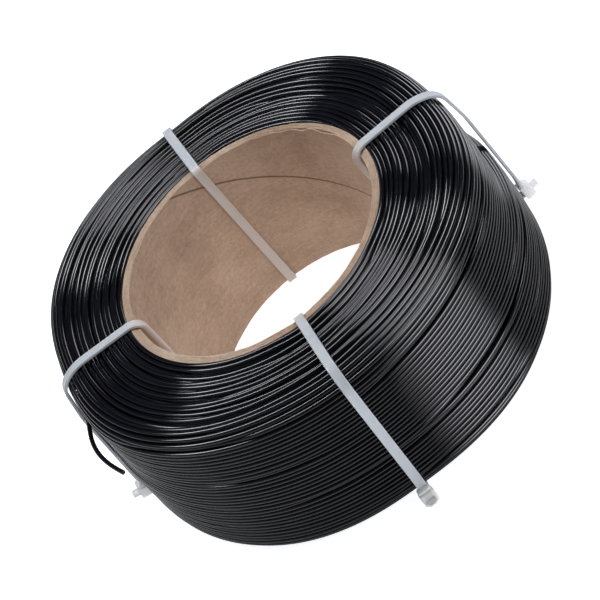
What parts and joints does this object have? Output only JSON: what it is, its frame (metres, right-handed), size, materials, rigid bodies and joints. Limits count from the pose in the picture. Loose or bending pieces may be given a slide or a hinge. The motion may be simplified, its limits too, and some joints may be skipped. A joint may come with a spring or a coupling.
{
  "type": "filament refill coil",
  "caption": "Flangeless refill coil of 3-D printing filament: black strand wound in layers on a paper core, held by nylon cable ties, with a loose outer end.",
  "frame": {"origin": "on the axis of the core's bore, in the plane of the cable ties' undersides, which the coil lies on", "axes": "+Z along the coil's axis, away from the face that it lies on; the cable ties' heads are low on the outer wall; -Y towards the tie called front, +X towards the tie called right"},
  "size_m": [0.191, 0.1908, 0.0713],
  "materials": {
    "core_liner": "matt brown kraft liner with fibres and specks",
    "core_board": "matt kraft board, paler and rougher at the cut ends",
    "filament": "glossy black extruded filament",
    "nylon": "natural translucent nylon, satin"
  },
  "bodies": {
    "coil": {"core_liner_ply": "core_liner", "core_body_ply_1": "core_board", "core_body_ply_2": "core_board", "core_body_ply_3": "core_board", "core_body_ply_4": "core_board", "core_outer_ply": "core_board", "winding_inner_layers": "filament", "winding_layer_18": "filament", "winding_layer_19": "filament", "winding_layer_20": "filament", "winding_layer_21": "filament", "filament_loose_end": "filament", "cable_tie_front": "nylon", "cable_tie_right": "nylon", "cable_tie_back": "nylon", "cable_tie_left": "nylon"},
    "pawl_front": {"tie_pawl_front": "nylon"},
    "pawl_right": {"tie_pawl_right": "nylon"},
    "pawl_back": {"tie_pawl_back": "nylon"},
    "pawl_left": {"tie_pawl_left": "nylon"}
  },
  "joints": [
    {"name": "pawl_front_flex", "type": "hinge", "parent": "coil", "child": "pawl_front", "pos_m": [-0.01012, -0.08883, 0.00498], "axis": [-0.9936, 0.1132, 0], "range_deg": [0, 12], "stiffness_Nm_per_rad": 0.03},
    {"name": "pawl_right_flex", "type": "hinge", "parent": "coil", "child": "pawl_right", "pos_m": [0.08937, -0.0025, 0.00498], "axis": [-0.0279, -0.9996, 0], "range_deg": [0, 12], "stiffness_Nm_per_rad": 0.03},
    {"name": "pawl_back_flex", "type": "hinge", "parent": "coil", "child": "pawl_back", "pos_m": [0.00608, 0.08919, 0.00498], "axis": [0.9977, -0.068, 0], "range_deg": [0, 12], "stiffness_Nm_per_rad": 0.03},
    {"name": "pawl_left_flex", "type": "hinge", "parent": "coil", "child": "pawl_left", "pos_m": [-0.08884, 0.00997, 0.00498], "axis": [0.1115, 0.9938, 0], "range_deg": [0, 12], "stiffness_Nm_per_rad": 0.03}
  ]
}
